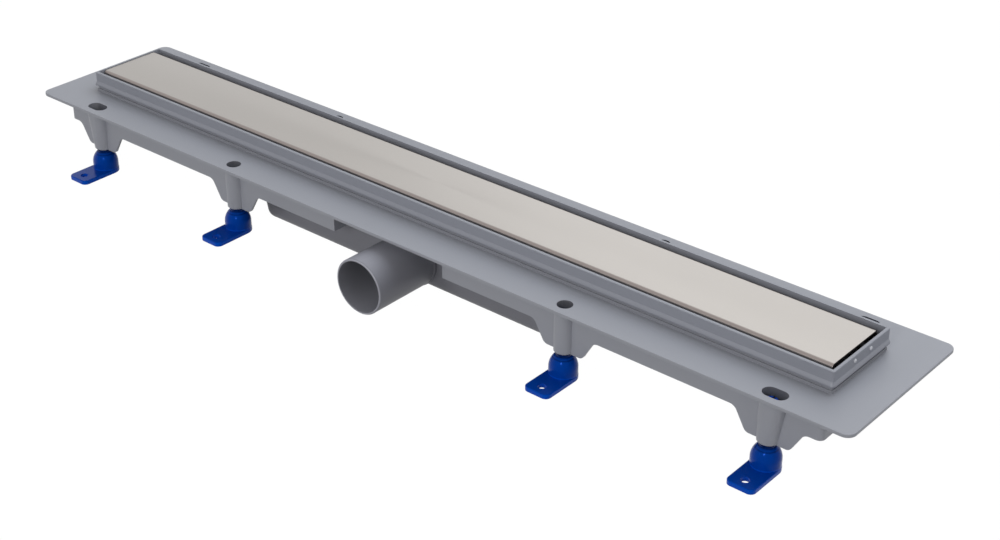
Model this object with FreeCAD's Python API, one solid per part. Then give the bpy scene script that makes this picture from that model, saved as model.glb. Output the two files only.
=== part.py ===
import FreeCAD
import Part
import math
import os
from FreeCAD import Vector

# Feet: the floor is z = 0 and every height is stacked up from it
foot_end_distance = 71.0
dome_height = 23.2
dome_gap = 0.3
dome_radius = 11.9
dome_shoulder_height = 9.5
dome_crown_radius = 6.8
dome_crown_drop = 2.4
collar_radius = 5.8
collar_height = 0.8
collar_step = 0.6
foot_plate_thickness = 3.8
foot_plate_width = 24.2
foot_plate_reach = 35.6
foot_plate_corner = 5.0
foot_plate_edge = 1.0
foot_screw_hole_diameter = 7.2
foot_screw_hole_inset = 9.2

# Levelling spindle with its ball
spindle_radius = 5.0
spindle_clearance = 0.1
spindle_outer_sink = 6.0
spindle_inner_sink = 10.0
spindle_slot_width = 1.8
spindle_slot_depth = 2.5
spindle_chamfer = 0.6
ball_radius = 5.8
ball_clearance = 0.1
ball_height = 12.5
neck_radius = 3.6
neck_clearance = 0.3

# Bosses that the spindles screw into
boss_depth = 42.0
boss_radius = 8.2
boss_draft = 0.3
boss_edge = 1.3
boss_flat = 0.4
adjuster_hole_diameter = 13.0
adjuster_slot_length = 20.6
adjuster_slot_shift = 2.5
adjuster_pocket_depth = 24.0
adjuster_land = 0.6

# Flange
flange_length = 890.0
flange_width = 154.0
flange_thickness = 3.0
flange_corner_radius = 8.0
flange_edge_radius = 0.6

# Skirt under the flange with a scalloped web at each boss
skirt_side_inset = 11.55
skirt_end_inset = 27.5
skirt_depth = 23.0
skirt_wall = 2.5
skirt_corner_radius = 5.0
web_short = 0.3
web_foot_half = 18.6
web_root_half = 29.4
web_foot_radius = 5.5
web_root_radius = 7.0
outlet_gap_half = 61.5
rib_wall = 2.0
rib_depth = 18.0

# Upstand, ledge and trough
upstand_recess = 1.6
upstand_height = 5.9
plinth_proud = 1.2
plinth_height = 2.4
plinth_edge_radius = 0.5
tongue_wall = 1.5
tongue_height = 5.0
tongue_clearance = 0.05
ledge_height = 0.8
ledge_thickness = 2.5
ledge_width = 6.0
trough_wall = 2.3
trough_end_depth = 9.0
trough_middle_depth = 14.0
trough_floor = 2.5
trough_inner_radius = 2.0
seat_count = 5
seat_height = 5.0
seat_length = 12.0
seat_end_distance = 60.0

# Rim frame that clips on the upstand
rim_length = 816.0
rim_width = 80.0
rim_wall = 2.5
rim_top_height = 19.0
rim_corner_radius = 2.0
rim_lip_radius = 0.7
bead_height = 4.2
bead_proud = 1.4
bead_foot = 1.2
bead_edge_radius = 0.5
pip_radius = 1.6
pip_proud = 0.9
pip_spacing = 22.4
pip_height = 14.7

# Cover
cover_length = 803.0
cover_width = 63.4
cover_height = 12.6
cover_sheet = 1.5
cover_bend_radius = 3.0

# Sump housing with the outlet spigot
sump_length = 388.0
sump_offset = -5.0
sump_end_lean = 12.0
sump_ground_gap = 0.8
sump_wall = 2.5
sump_end_radius = 12.0
sump_floor_radius = 8.6
sump_lip_proud = 2.0
sump_lip_thickness = 2.5
sump_clearance = 0.3
outlet_diameter = 50.0
outlet_wall = 1.8
outlet_lift = 0.2
outlet_reach = 100.6
outlet_chamfer = 0.8
outlet_chamfer_length = 0.8
outlet_root_proud = 0.6
outlet_root_length = 1.0

# Odour trap
inlet_radius = 25.0
inlet_wall = 2.0
inlet_collar_depth = 14.0
insert_clearance = 0.4
insert_wall = 1.8
insert_flange_thickness = 2.0
insert_sleeve_depth = 12.0
dip_tube_radius = 16.0
seal_radius = 1.3
seal_clearance = 0.05
cup_radius = 23.0
cup_wall = 1.7
cup_floor_gap = 3.0
cup_window_height = 7.0
cup_arm_count = 3
cup_arm_angle = 36.0
dip_tube_gap = 9.0
strainer_step = 0.6
strainer_thickness = 1.6
strainer_slot_width = 2.4
strainer_slot_pitch = 5.2
strainer_margin = 4.5
strainer_knob_radius = 4.0
strainer_knob_height = 5.0

# Heights that follow from the sizes above
boss_bottom = dome_height + dome_gap
flange_top = boss_bottom + boss_depth
flange_bottom = flange_top - flange_thickness
skirt_bottom = flange_top - skirt_depth
web_bottom = boss_bottom + web_short
ledge_top = flange_top + ledge_height
cover_bottom = ledge_top + seat_height
upstand_top = flange_top + upstand_height
rim_top = flange_top + rim_top_height
trough_middle_top = flange_top - trough_middle_depth
trough_end_top = flange_top - trough_end_depth
trough_middle_bottom = trough_middle_top - trough_floor
outlet_radius = outlet_diameter / 2
outlet_axis = sump_ground_gap + outlet_radius + outlet_lift
sump_floor_top = sump_ground_gap + sump_wall

# Trap heights: the insert hangs in the inlet collar and the cup hangs under it
insert_plate_top = trough_middle_top - insert_sleeve_depth
insert_plate_bottom = insert_plate_top - insert_wall
seal_height = trough_middle_top - insert_sleeve_depth / 2
cup_bottom = sump_floor_top + cup_floor_gap
cup_rim = insert_plate_bottom - cup_window_height
dip_tube_bottom = cup_bottom + cup_wall + dip_tube_gap

# Half widths and half lengths, from the outside in
flange_half_x = flange_length / 2
flange_half_y = flange_width / 2
foot_outer_x = flange_half_x - foot_end_distance
foot_inner_x = foot_outer_x / 2
skirt_half_x = flange_half_x - skirt_end_inset
skirt_half_y = flange_half_y - skirt_side_inset
boss_y = skirt_half_y - skirt_wall / 2
rim_half_x = rim_length / 2
rim_half_y = rim_width / 2
upstand_half_x = rim_half_x - upstand_recess
upstand_half_y = rim_half_y - upstand_recess
tongue_half_x = rim_half_x - rim_wall - tongue_clearance
tongue_half_y = rim_half_y - rim_wall - tongue_clearance
bay_half_x = tongue_half_x - tongue_wall
bay_half_y = tongue_half_y - tongue_wall
trough_half_x = bay_half_x - ledge_width
trough_half_y = bay_half_y - ledge_width
trough_outer_half_x = trough_half_x + trough_wall
trough_outer_half_y = trough_half_y + trough_wall
sump_half_x = sump_length / 2
sump_half_y = trough_outer_half_y
sump_shift = Vector(sump_offset, 0, 0)
trough_flat_half = sump_half_x + abs(sump_offset) + sump_lip_proud
sleeve_radius = inlet_radius - insert_clearance
insert_flange_radius = trough_half_y - trough_inner_radius - insert_clearance
seal_ring_radius = inlet_radius - seal_clearance - seal_radius
strainer_radius = insert_flange_radius - strainer_step

# Cuts run this far past the face that they open
over = 1.0

# The four feet of one long side, each with the sign of the end that it stands at
foot_places = [
    (1, -foot_outer_x),
    (2, -foot_inner_x),
    (3, foot_inner_x),
    (4, foot_outer_x),
]
sides = [("front", -1), ("rear", 1)]


def rounded_wire(corners, radii):
    """Closed wire through the corners, each one rounded by its own radius."""
    count = len(corners)
    arcs = []
    for index in range(count):
        corner = corners[index]
        radius = radii[index]
        to_last = (corners[index - 1] - corner).normalize()
        to_next = (corners[(index + 1) % count] - corner).normalize()
        half = math.acos(to_last.dot(to_next)) / 2
        reach = radius / math.tan(half)
        start = corner + to_last * reach
        end = corner + to_next * reach
        middle = corner + (to_last + to_next).normalize() * (radius / math.sin(half) - radius)
        arcs.append((start, middle, end))
    edges = []
    for index in range(count):
        start, middle, end = arcs[index]
        following = arcs[(index + 1) % count][0]
        if radii[index] > 0:
            edges.append(Part.Arc(start, middle, end).toShape())
        if (following - end).Length > 1e-6:
            edges.append(Part.LineSegment(end, following).toShape())
    return Part.Wire(edges)


def rounded_outline(half_x, half_y, radius, height):
    """Level rectangle with rounded corners."""
    corners = [
        Vector(-half_x, -half_y, height),
        Vector(half_x, -half_y, height),
        Vector(half_x, half_y, height),
        Vector(-half_x, half_y, height),
    ]
    return rounded_wire(corners, [radius] * 4)


def rounded_block(half_x, half_y, radius, bottom, top):
    """Upright block with rounded vertical edges."""
    face = Part.Face(rounded_outline(half_x, half_y, radius, bottom))
    return face.extrude(Vector(0, 0, top - bottom))


def leaning_block(half_x, half_y, radius, bottom, top, lean):
    """Upright block with rounded corners whose two ends lean in towards its foot."""
    low = rounded_outline(half_x - lean, half_y, radius, bottom)
    high = rounded_outline(half_x, half_y, radius, top)
    return Part.makeLoft([low, high], True, True)


def box_between(x0, x1, y0, y1, z0, z1):
    return Part.makeBox(x1 - x0, y1 - y0, z1 - z0, Vector(x0, y0, z0))


def post(x, y, radius, bottom, top):
    return Part.makeCylinder(radius, top - bottom, Vector(x, y, bottom))


def edges_at_height(shape, height):
    """Level edges of a shape that lie at one height."""
    found = []
    for edge in shape.Edges:
        box = edge.BoundBox
        if abs(box.ZMin - height) < 1e-4 and abs(box.ZMax - height) < 1e-4:
            found.append(edge)
    return found


def slot_wire(x, y, z, radius, straight):
    """Slot along X with round ends, as two straight edges and two arcs."""
    half = straight / 2
    left = Vector(x - half, y, z)
    right = Vector(x + half, y, z)
    up = Vector(0, radius, 0)
    out = Vector(radius, 0, 0)
    edges = [
        Part.LineSegment(left - up, right - up).toShape(),
        Part.Arc(right - up, right + out, right + up).toShape(),
        Part.LineSegment(right + up, left + up).toShape(),
        Part.Arc(left + up, left - out, left - up).toShape(),
    ]
    return Part.Wire(edges)


def tapered_slot(top_x, low_x, y, low_z, top_z, low_radius, top_radius, top_straight):
    """Solid that runs from a slot at its top to a round section at its foot."""
    low = slot_wire(low_x, y, low_z, low_radius, boss_flat)
    high = slot_wire(top_x, y, top_z, top_radius, top_straight)
    return Part.makeLoft([low, high], True, True)


def web_panel(x, side):
    """Panel in the skirt's own plane that runs down beside a boss in two slopes."""
    front = side * skirt_half_y
    root = skirt_bottom + web_root_radius
    outer = web_root_half + web_root_radius
    corners = [
        Vector(x - outer, front, root),
        Vector(x - outer, front, skirt_bottom),
        Vector(x - web_root_half, front, skirt_bottom),
        Vector(x - web_foot_half, front, web_bottom),
        Vector(x + web_foot_half, front, web_bottom),
        Vector(x + web_root_half, front, skirt_bottom),
        Vector(x + outer, front, skirt_bottom),
        Vector(x + outer, front, root),
    ]
    radii = [0, 0, web_root_radius, web_foot_radius, web_foot_radius, web_root_radius, 0, 0]
    face = Part.Face(rounded_wire(corners, radii))
    return face.extrude(Vector(0, -side * skirt_wall, 0))


def make_skirt():
    """Wall that runs round under the flange, open where the outlet passes."""
    outside = rounded_block(skirt_half_x, skirt_half_y, skirt_corner_radius, skirt_bottom, flange_bottom)
    inside = rounded_block(
        skirt_half_x - skirt_wall,
        skirt_half_y - skirt_wall,
        max(skirt_corner_radius - skirt_wall, skirt_wall / 5),
        skirt_bottom - over,
        flange_bottom + over,
    )
    skirt = outside.cut(inside)
    gap = box_between(
        -outlet_gap_half,
        outlet_gap_half,
        -skirt_half_y - over,
        -skirt_half_y + skirt_wall + over,
        skirt_bottom - over,
        flange_bottom + over,
    )
    panels = []
    for name, side in sides:
        for index, x in foot_places:
            panels.append(web_panel(x, side))
    return skirt.cut(gap).multiFuse(panels)


def make_ribs():
    """Cross ribs from the skirt to the trough, at each boss and beside the outlet."""
    ribs = []
    inner_y = trough_outer_half_y - trough_wall / 2
    outer_y = skirt_half_y - skirt_wall / 2
    for name, side in sides:
        y0 = min(side * inner_y, side * outer_y)
        y1 = max(side * inner_y, side * outer_y)
        for index, x in foot_places:
            ribs.append(
                box_between(
                    x - rib_wall / 2, x + rib_wall / 2, y0, y1,
                    flange_top - rib_depth, flange_top - flange_thickness / 2,
                )
            )
    for end in (-1, 1):
        near = end * outlet_gap_half
        far = end * (outlet_gap_half + skirt_wall)
        ribs.append(
            box_between(
                min(near, far), max(near, far), -outer_y, -inner_y,
                skirt_bottom, flange_top - flange_thickness / 2,
            )
        )
        end_inner = end * (trough_outer_half_x - trough_wall / 2)
        end_outer = end * (skirt_half_x - skirt_wall / 2)
        ribs.append(
            box_between(
                min(end_inner, end_outer), max(end_inner, end_outer),
                -rib_wall / 2, rib_wall / 2,
                trough_end_top, flange_top - flange_thickness / 2,
            )
        )
    relief = rounded_block(
        sump_half_x + sump_lip_proud + sump_clearance,
        sump_half_y + sump_lip_proud + sump_clearance,
        sump_end_radius + sump_lip_proud + sump_clearance,
        skirt_bottom - over,
        trough_middle_bottom,
    ).translated(sump_shift)
    return [rib.cut(relief) for rib in ribs]


def make_seats():
    """Blocks on the ledge that carry the legs of the cover and let water pass between them."""
    seats = []
    first = -bay_half_x + seat_end_distance
    step = 2 * abs(first) / (seat_count - 1)
    for index in range(seat_count):
        middle = first + index * step
        for side_name, side in sides:
            near = side * trough_half_y
            far = side * (bay_half_y + tongue_wall / 2)
            seats.append(
                box_between(
                    middle - seat_length / 2, middle + seat_length / 2,
                    min(near, far), max(near, far),
                    ledge_top - ledge_thickness / 2, cover_bottom,
                )
            )
    return seats


def make_boss(x, side, outer):
    """Boss under the flange with a broken edge at its foot.

    It is round at the inner feet and runs from a slot to a round foot at the outer ones.
    """
    y = side * boss_y
    top = flange_top - flange_thickness / 2
    shoulder = boss_bottom + boss_edge
    end_radius = boss_radius - boss_edge
    if not outer:
        end = Part.makeCone(end_radius, boss_radius, boss_edge, Vector(x, y, boss_bottom))
        stem = Part.makeCone(
            boss_radius, boss_radius + boss_draft, top - shoulder, Vector(x, y, shoulder)
        )
        return end.fuse(stem)
    outward = math.copysign(adjuster_slot_shift, x)
    end = tapered_slot(x, x, y, boss_bottom, shoulder, end_radius, boss_radius, boss_flat)
    stem = tapered_slot(
        x + outward, x, y, shoulder, top, boss_radius, boss_radius + boss_draft,
        adjuster_slot_length - adjuster_hole_diameter,
    )
    return end.fuse(stem)


def make_boss_bore(x, side, outer):
    """Threaded bore with the wider well above it for the screwdriver."""
    y = side * boss_y
    bore_radius = spindle_radius + spindle_clearance
    hole_radius = adjuster_hole_diameter / 2
    well_top = flange_top - adjuster_land
    pocket_bottom = flange_top - adjuster_pocket_depth
    bore = post(x, y, bore_radius, boss_bottom - over, flange_top)
    straight = 0.0
    shift = 0.0
    if outer:
        straight = adjuster_slot_length - adjuster_hole_diameter
        shift = math.copysign(adjuster_slot_shift, x)
    if straight > 0:
        mouth = Part.Face(slot_wire(x + shift, y, well_top, hole_radius, straight))
        mouth = mouth.extrude(Vector(0, 0, adjuster_land + over))
        well = tapered_slot(
            x + shift, x, y, pocket_bottom, well_top, bore_radius, hole_radius, straight
        )
        return [bore, mouth, well]
    mouth = post(x, y, hole_radius, well_top, flange_top + over)
    well = Part.makeCone(bore_radius, hole_radius, well_top - pocket_bottom, Vector(x, y, pocket_bottom))
    return [bore, mouth, well]


def trough_profile(half_x, top, floor_drop, half_y):
    """Long side view of the trough, level over the sump and rising to both ends."""
    corners = [
        Vector(-half_x, -half_y, top),
        Vector(-half_x, -half_y, trough_end_top - floor_drop),
        Vector(-trough_flat_half, -half_y, trough_middle_top - floor_drop),
        Vector(trough_flat_half, -half_y, trough_middle_top - floor_drop),
        Vector(half_x, -half_y, trough_end_top - floor_drop),
        Vector(half_x, -half_y, top),
    ]
    face = Part.Face(Part.makePolygon(corners + corners[:1]))
    return face.extrude(Vector(0, 2 * half_y, 0))


def long_low_edges(solid, half_y):
    """Lower long edges of the trough on both sides."""
    found = []
    for edge in solid.Edges:
        box = edge.BoundBox
        on_side = abs(abs(box.YMin) - half_y) < 1e-4 and abs(box.YMax - box.YMin) < 1e-4
        below = box.ZMax < trough_end_top + trough_floor / 2
        if on_side and below and box.XMax - box.XMin > ledge_width:
            found.append(edge)
    return found


def make_channel_body():
    """Moulded body: flange, upstand, trough, skirt, webs, ribs and bosses in one piece."""
    flange = rounded_block(
        flange_half_x, flange_half_y, flange_corner_radius, flange_bottom, flange_top
    )
    rim_edges = edges_at_height(flange, flange_top) + edges_at_height(flange, flange_bottom)
    flange = flange.makeFillet(flange_edge_radius, rim_edges)
    corner = max(rim_corner_radius - upstand_recess, rim_corner_radius / 5)
    upstand = rounded_block(
        upstand_half_x, upstand_half_y, corner, flange_bottom, upstand_top
    )
    plinth = rounded_block(
        upstand_half_x + plinth_proud,
        upstand_half_y + plinth_proud,
        corner + plinth_proud,
        flange_bottom,
        flange_top + plinth_height,
    )
    plinth = plinth.makeFillet(
        plinth_edge_radius, edges_at_height(plinth, flange_top + plinth_height)
    )
    tongue = rounded_block(
        tongue_half_x, tongue_half_y, corner, flange_bottom, upstand_top + tongue_height
    )
    bay = box_between(
        -bay_half_x, bay_half_x, -bay_half_y, bay_half_y,
        flange_bottom - over, upstand_top + tongue_height + over,
    )
    ledge = box_between(
        -bay_half_x, bay_half_x, -bay_half_y, bay_half_y,
        ledge_top - ledge_thickness, ledge_top,
    )
    trough_outer = trough_profile(trough_outer_half_x, ledge_top, trough_floor, trough_outer_half_y)
    trough_outer = trough_outer.makeFillet(
        trough_inner_radius + trough_wall, long_low_edges(trough_outer, trough_outer_half_y)
    )
    trough_inner = trough_profile(trough_half_x, ledge_top + over, 0, trough_half_y)
    trough_inner = trough_inner.makeFillet(
        trough_inner_radius, long_low_edges(trough_inner, trough_half_y)
    )
    collar = post(0, 0, inlet_radius + inlet_wall, trough_middle_top - inlet_collar_depth, trough_middle_top)
    inlet = post(
        0, 0, inlet_radius, trough_middle_top - inlet_collar_depth - over, trough_middle_top + over
    )
    shell = flange.multiFuse([upstand, plinth, tongue]).cut(bay)
    bosses = []
    bores = []
    for name, side in sides:
        for index, x in foot_places:
            outer = abs(x) == foot_outer_x
            bosses.append(make_boss(x, side, outer))
            bores.extend(make_boss_bore(x, side, outer))
    under = [make_skirt()] + make_ribs() + bosses
    weld_rim = rounded_block(
        sump_half_x + sump_lip_proud,
        sump_half_y + sump_lip_proud,
        sump_end_radius + sump_lip_proud,
        trough_middle_bottom,
        trough_middle_top,
    ).translated(sump_shift)
    body = shell.multiFuse([ledge, trough_outer, weld_rim, collar] + make_seats() + under)
    body = body.cut(Part.makeCompound([trough_inner, inlet]))
    body = body.cut(bores[0].multiFuse(bores[1:]))
    return body.removeSplitter()


def make_sump_housing():
    """Deep housing welded by its lip under the trough, with the outlet spigot on the front side."""
    outside = leaning_block(
        sump_half_x, sump_half_y, sump_end_radius, sump_ground_gap, trough_middle_bottom,
        sump_end_lean,
    )
    outside = outside.makeFillet(sump_floor_radius, edges_at_height(outside, sump_ground_gap))
    inside = leaning_block(
        sump_half_x - sump_wall,
        sump_half_y - sump_wall,
        sump_end_radius - sump_wall,
        sump_floor_top,
        trough_middle_bottom + over,
        sump_end_lean,
    )
    inside = inside.makeFillet(sump_floor_radius - sump_wall, edges_at_height(inside, sump_floor_top))
    lip = rounded_block(
        sump_half_x + sump_lip_proud,
        sump_half_y + sump_lip_proud,
        sump_end_radius + sump_lip_proud,
        trough_middle_bottom - sump_lip_thickness,
        trough_middle_bottom,
    )
    to_front = Vector(0, -1, 0)
    root = -sump_half_y + sump_floor_radius
    stop = -sump_half_y - sump_lip_proud - sump_clearance
    stop_radius = outlet_radius + outlet_root_proud
    under_trough = box_between(
        -stop_radius, stop_radius, stop, root + over, trough_middle_bottom, outlet_axis + stop_radius + over
    )
    collar = Part.makeCylinder(stop_radius, root - stop, Vector(0, root, outlet_axis), to_front)
    flare = Part.makeCone(
        stop_radius, outlet_radius, outlet_root_length, Vector(0, stop, outlet_axis), to_front
    )
    barrel_start = stop - outlet_root_length
    barrel = Part.makeCylinder(
        outlet_radius, outlet_reach + barrel_start - outlet_chamfer_length,
        Vector(0, barrel_start, outlet_axis), to_front,
    )
    nose = Part.makeCone(
        outlet_radius, outlet_radius - outlet_chamfer, outlet_chamfer_length,
        Vector(0, -outlet_reach + outlet_chamfer_length, outlet_axis), to_front,
    )
    bore = Part.makeCylinder(
        outlet_radius - outlet_wall, outlet_reach + over, Vector(0, 0, outlet_axis), to_front
    )
    housing = outside.fuse(lip).translated(sump_shift)
    housing = housing.multiFuse([collar, flare, barrel, nose])
    hollow = inside.translated(sump_shift)
    return housing.cut(Part.makeCompound([hollow, under_trough])).cut(bore).removeSplitter()


def make_rim_frame():
    """Frame round the cover, with a sloping bead at its foot and two clip pips at each end."""
    wall = rounded_block(rim_half_x, rim_half_y, rim_corner_radius, upstand_top, rim_top)
    wall = wall.makeFillet(rim_lip_radius, edges_at_height(wall, rim_top))
    bead_turn = upstand_top + bead_foot
    foot = rounded_block(
        rim_half_x + bead_proud,
        rim_half_y + bead_proud,
        rim_corner_radius + bead_proud,
        upstand_top,
        bead_turn,
    )
    foot = foot.makeFillet(bead_edge_radius, edges_at_height(foot, upstand_top))
    wide = rounded_outline(
        rim_half_x + bead_proud, rim_half_y + bead_proud, rim_corner_radius + bead_proud, bead_turn
    )
    narrow = rounded_outline(
        rim_half_x, rim_half_y, rim_corner_radius, upstand_top + bead_height
    )
    slope = Part.makeLoft([wide, narrow], True, True)
    pips = []
    for end in (-1, 1):
        for side in (-1, 1):
            ball_rise = (pip_radius ** 2 - pip_proud ** 2) / (2 * pip_proud)
            centre = Vector(
                end * (rim_half_x - ball_rise), side * pip_spacing / 2, flange_top + pip_height
            )
            pips.append(Part.makeSphere(ball_rise + pip_proud, centre))
    well = box_between(
        -rim_half_x + rim_wall, rim_half_x - rim_wall,
        -rim_half_y + rim_wall, rim_half_y - rim_wall,
        upstand_top - over, rim_top + over,
    )
    return wall.multiFuse([foot, slope] + pips).cut(well).removeSplitter()


def make_cover_plate():
    """Steel cover: flat top with both long edges bent down, open at both ends."""
    low = cover_bottom
    top = cover_bottom + cover_height
    half_y = cover_width / 2
    x = -cover_length / 2
    corners = [
        Vector(x, -half_y, low),
        Vector(x, -half_y, top),
        Vector(x, half_y, top),
        Vector(x, half_y, low),
        Vector(x, half_y - cover_sheet, low),
        Vector(x, half_y - cover_sheet, top - cover_sheet),
        Vector(x, -half_y + cover_sheet, top - cover_sheet),
        Vector(x, -half_y + cover_sheet, low),
    ]
    inner_radius = max(cover_bend_radius - cover_sheet, cover_sheet / 5)
    radii = [0, cover_bend_radius, cover_bend_radius, 0, 0, inner_radius, inner_radius, 0]
    face = Part.Face(rounded_wire(corners, radii))
    return face.extrude(Vector(cover_length, 0, 0))


def revolve_profile(points):
    """Solid of revolution about Z from (radius, height) points."""
    vectors = [Vector(radius, 0, height) for radius, height in points]
    face = Part.Face(Part.makePolygon(vectors + vectors[:1]))
    return face.revolve(Vector(0, 0, 0), Vector(0, 0, 1), 360)


def make_trap_insert():
    """Flanged sleeve with a dip tube, and a groove for its sealing ring."""
    tube_inner = dip_tube_radius - insert_wall
    points = [
        (tube_inner, dip_tube_bottom),
        (dip_tube_radius, dip_tube_bottom),
        (dip_tube_radius, insert_plate_bottom),
        (sleeve_radius, insert_plate_bottom),
        (sleeve_radius, trough_middle_top),
        (insert_flange_radius, trough_middle_top),
        (insert_flange_radius, trough_middle_top + insert_flange_thickness),
        (sleeve_radius - insert_wall - seal_radius, trough_middle_top + insert_flange_thickness),
        (sleeve_radius - insert_wall - seal_radius, insert_plate_top),
        (tube_inner, insert_plate_top),
    ]
    ring = Part.makeTorus(seal_ring_radius, seal_radius, Vector(0, 0, seal_height))
    return revolve_profile(points).cut(ring)


def make_trap_seal():
    return Part.makeTorus(seal_ring_radius, seal_radius, Vector(0, 0, seal_height))


def make_trap_cup():
    """Water cup with arms that reach up to the plate of the insert."""
    inner = cup_radius - cup_wall
    wall = post(0, 0, cup_radius, cup_bottom, insert_plate_bottom)
    hollow = post(0, 0, inner, cup_bottom + cup_wall, insert_plate_bottom + over)
    cup = wall.cut(hollow)
    step = 360.0 / cup_arm_count
    windows = []
    for index in range(cup_arm_count):
        wedge = Part.makeCylinder(
            cup_radius + over, cup_window_height + over, Vector(0, 0, cup_rim),
            Vector(0, 0, 1), step - cup_arm_angle,
        )
        wedge.rotate(Vector(0, 0, 0), Vector(0, 0, 1), index * step + cup_arm_angle / 2)
        windows.append(wedge)
    return cup.cut(windows[0].multiFuse(windows[1:]))


def make_hair_strainer():
    """Slotted disc with a knob to lift it by."""
    low = trough_middle_top + insert_flange_thickness
    disc = post(0, 0, strainer_radius, low, low + strainer_thickness)
    reach = strainer_radius - strainer_margin
    count = int(reach / strainer_slot_pitch)
    slots = []
    for index in range(-count, count + 1):
        x = index * strainer_slot_pitch
        half = math.sqrt(reach ** 2 - x ** 2)
        if half > strainer_slot_width:
            slots.append(
                box_between(
                    x - strainer_slot_width / 2, x + strainer_slot_width / 2, -half, half,
                    low - over, low + strainer_thickness + over,
                )
            )
    disc = disc.cut(slots[0].multiFuse(slots[1:]))
    bridge = box_between(
        -reach - over, reach + over, -strainer_knob_radius / 2, strainer_knob_radius / 2,
        low, low + strainer_thickness,
    )
    knob = post(0, 0, strainer_knob_radius, low, low + strainer_thickness + strainer_knob_height)
    return disc.multiFuse([bridge, knob]).removeSplitter()


def make_foot_base():
    """Foot with its screw tongue towards the front, as it stands at the origin."""
    half = foot_plate_width / 2
    tip = -foot_plate_reach
    outline = [
        Part.Arc(Vector(half, 0, 0), Vector(0, half, 0), Vector(-half, 0, 0)).toShape(),
    ]
    front_left = Vector(-half, tip, 0)
    front_right = Vector(half, tip, 0)
    cut = foot_plate_corner
    slack = cut * (1 - math.sqrt(0.5))
    outline.append(Part.LineSegment(Vector(-half, 0, 0), front_left + Vector(0, cut, 0)).toShape())
    outline.append(
        Part.Arc(
            front_left + Vector(0, cut, 0), front_left + Vector(slack, slack, 0),
            front_left + Vector(cut, 0, 0),
        ).toShape()
    )
    outline.append(
        Part.LineSegment(front_left + Vector(cut, 0, 0), front_right + Vector(-cut, 0, 0)).toShape()
    )
    outline.append(
        Part.Arc(
            front_right + Vector(-cut, 0, 0), front_right + Vector(-slack, slack, 0),
            front_right + Vector(0, cut, 0),
        ).toShape()
    )
    outline.append(Part.LineSegment(front_right + Vector(0, cut, 0), Vector(half, 0, 0)).toShape())
    plate = Part.Face(Part.Wire(outline)).extrude(Vector(0, 0, foot_plate_thickness))
    plate = plate.makeFillet(foot_plate_edge, edges_at_height(plate, foot_plate_thickness))
    crown_height = dome_height - dome_crown_drop
    shoulder = Vector(dome_radius, 0, dome_shoulder_height)
    crown = Vector(dome_crown_radius, 0, crown_height)
    inward = dome_radius - dome_crown_radius
    rise = crown_height - dome_shoulder_height
    arc_radius = (inward ** 2 + rise ** 2) / (2 * inward)
    half_turn = math.asin(rise / arc_radius) / 2
    bulge = Vector(
        dome_radius - arc_radius * (1 - math.cos(half_turn)), 0,
        dome_shoulder_height + arc_radius * math.sin(half_turn),
    )
    step_radius = collar_radius + collar_step
    step_top = dome_height - collar_height
    side = Part.makePolygon([Vector(0, 0, 0), Vector(dome_radius, 0, 0), shoulder])
    steps = Part.makePolygon([
        crown,
        Vector(step_radius, 0, crown_height),
        Vector(step_radius, 0, step_top),
        Vector(collar_radius, 0, step_top),
        Vector(collar_radius, 0, dome_height),
        Vector(0, 0, dome_height),
        Vector(0, 0, 0),
    ])
    path = side.Edges + [Part.Arc(shoulder, bulge, crown).toShape()] + steps.Edges
    dome = Part.Face(Part.Wire(path)).revolve(Vector(0, 0, 0), Vector(0, 0, 1), 360)
    socket = Part.makeSphere(ball_radius + ball_clearance, Vector(0, 0, ball_height))
    throat = post(0, 0, spindle_radius + neck_clearance, ball_height, dome_height + over)
    hole = post(
        0, tip + foot_screw_hole_inset, foot_screw_hole_diameter / 2, -over, foot_plate_thickness + over
    )
    return plate.fuse(dome).cut(socket.multiFuse([throat, hole])).removeSplitter()


def make_foot_spindle(top):
    """Slotted spindle with a neck and a ball at its foot, on the Z axis."""
    rod_bottom = dome_height - collar_height
    rod = post(0, 0, spindle_radius, rod_bottom, top - spindle_chamfer)
    tip = Part.makeCone(
        spindle_radius, spindle_radius - spindle_chamfer, spindle_chamfer,
        Vector(0, 0, top - spindle_chamfer),
    )
    neck = post(0, 0, neck_radius, ball_height, rod_bottom)
    ball = Part.makeSphere(ball_radius, Vector(0, 0, ball_height))
    spindle = rod.multiFuse([tip, neck, ball])
    slot = box_between(
        -spindle_slot_width / 2, spindle_slot_width / 2,
        -spindle_radius - over, spindle_radius + over,
        top - spindle_slot_depth, top + over,
    )
    return spindle.cut(slot).removeSplitter()


os.makedirs("parts", exist_ok=True)

nodes = {
    "channel_body": make_channel_body(),
    "sump_housing": make_sump_housing(),
    "rim_frame": make_rim_frame(),
    "cover_plate": make_cover_plate(),
    "trap_insert": make_trap_insert(),
    "trap_seal": make_trap_seal(),
    "trap_cup": make_trap_cup(),
    "hair_strainer": make_hair_strainer(),
}

for side_name, side in sides:
    for index, x in foot_places:
        sink = spindle_outer_sink if abs(x) == foot_outer_x else spindle_inner_sink
        place = Vector(x, side * boss_y, 0)
        base = make_foot_base()
        if side > 0:
            base.rotate(Vector(0, 0, 0), Vector(0, 0, 1), 180)
        base.translate(place)
        spindle = make_foot_spindle(flange_top - sink)
        spindle.translate(place)
        nodes["foot_base_" + side_name + "_" + str(index)] = base
        nodes["foot_spindle_" + side_name + "_" + str(index)] = spindle

for node_name, shape in nodes.items():
    if not shape.isValid() or len(shape.Solids) != 1:
        print("check", node_name, shape.isValid(), len(shape.Solids))
    shape.exportStep("parts/" + node_name + ".step")
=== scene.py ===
import math

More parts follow.
